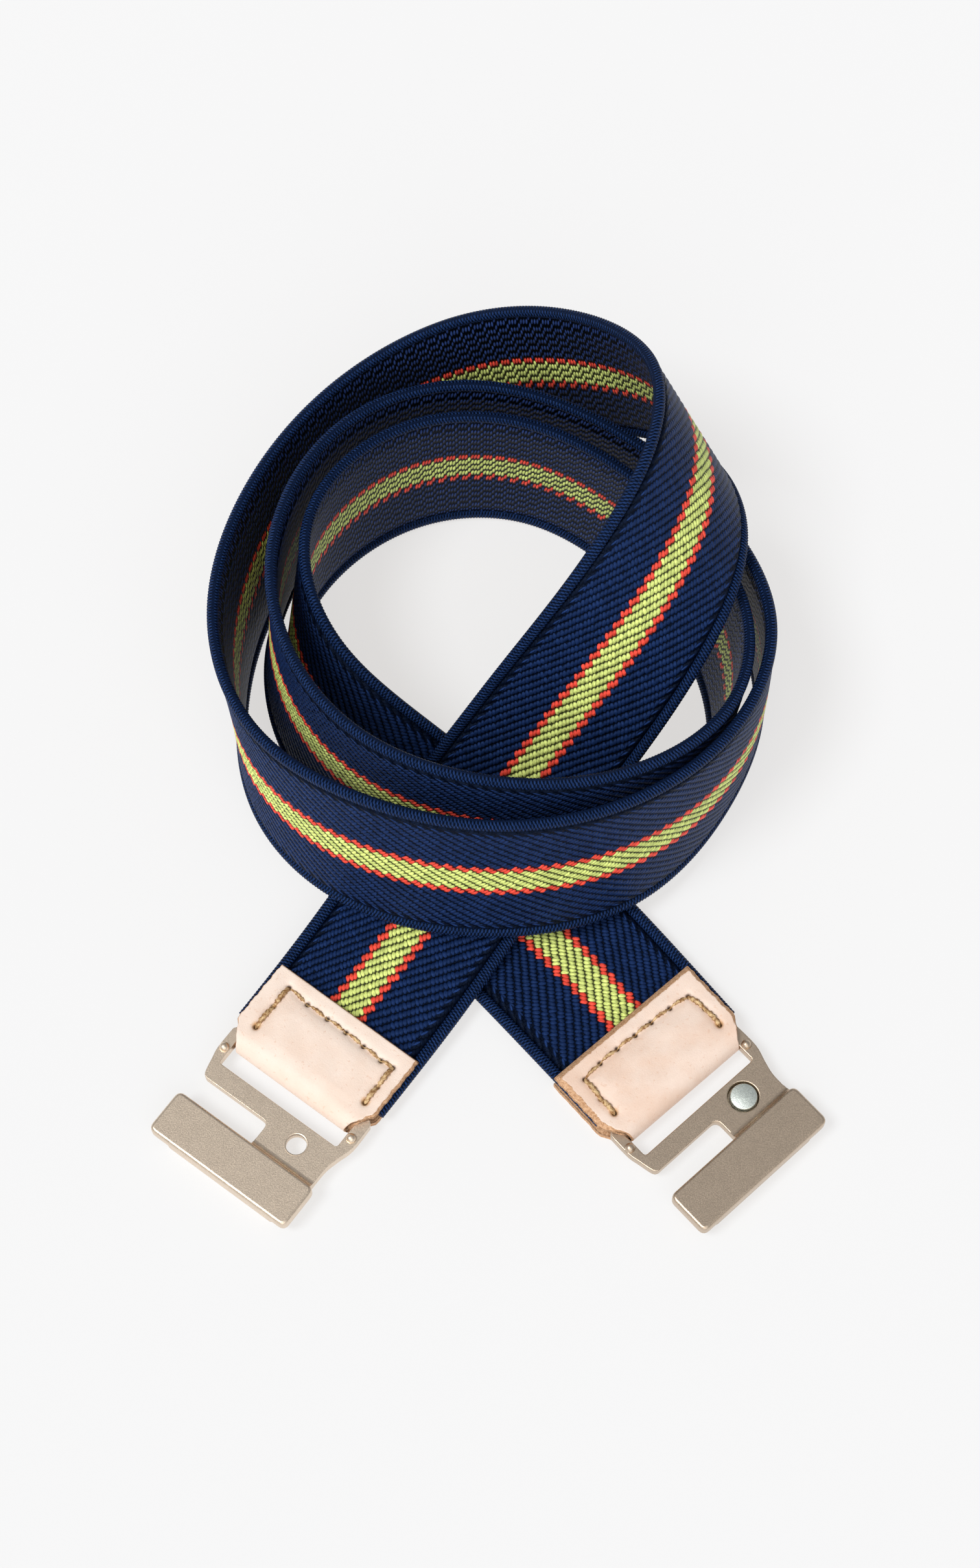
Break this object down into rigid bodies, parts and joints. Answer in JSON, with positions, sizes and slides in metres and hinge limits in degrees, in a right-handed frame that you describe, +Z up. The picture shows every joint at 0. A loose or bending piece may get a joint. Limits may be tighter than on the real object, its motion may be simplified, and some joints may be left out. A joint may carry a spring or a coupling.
{
  "type": "elastic belt",
  "caption": "Wide elastic belt with a centre stripe, rolled in a loose coil, with stitched leather tabs and cast interlocking hook plates at its ends.",
  "frame": {"origin": "centre of the bounding box's base, on the surface that the belt lies on", "axes": "+Z up; +Y from the hook plates towards the far side of the coil; +X to the right as seen from the hook plates"},
  "size_m": [0.1102, 0.1542, 0.0548],
  "materials": {
    "webbing": "woven twill, matt",
    "leather": "smooth undyed",
    "cast_metal": "satin, warm grey",
    "magnet": "satin plated"
  },
  "bodies": {
    "root": {"elastic_webbing": "webbing", "leather_tab_left": "leather", "leather_tab_right": "leather", "hook_plate_left": "cast_metal", "hook_plate_right": "cast_metal", "magnet_disc": "magnet"}
  },
  "joints": []
}
